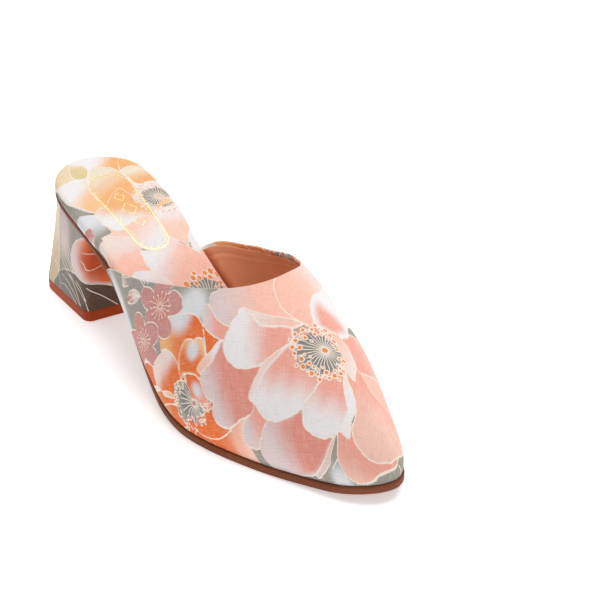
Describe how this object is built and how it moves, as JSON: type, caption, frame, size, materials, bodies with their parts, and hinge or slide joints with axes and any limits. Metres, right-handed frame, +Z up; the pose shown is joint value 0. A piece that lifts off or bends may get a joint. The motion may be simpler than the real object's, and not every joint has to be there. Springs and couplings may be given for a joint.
{
  "type": "block heel mule",
  "caption": "Right-foot almond-toe mule with an open back, a padded insole, a thin sole and a flared covered block heel.",
  "frame": {"origin": "on the floor, under the middle of the shoe's bounding box", "axes": "+X towards the toe, +Y towards the inner side of the right foot, +Z up"},
  "size_m": [0.252, 0.086, 0.0609],
  "materials": {
    "outsole_rubber": "matt tan-brown moulded sheet with a fine grain",
    "insole_fabric": "floral woven cloth over thin padding",
    "upper_fabric": "floral woven cloth, fine plain weave, matt",
    "heel_fabric": "floral woven cloth stretched over the heel block",
    "lift_rubber": "satin terracotta heel lift",
    "lining": "smooth tan lining, matt",
    "gilt": "thin gold foil print"
  },
  "bodies": {
    "root": {"outsole": "outsole_rubber", "insole": "insole_fabric", "upper": "upper_fabric", "heel": "heel_fabric", "heel_lift": "lift_rubber"}
  },
  "joints": []
}
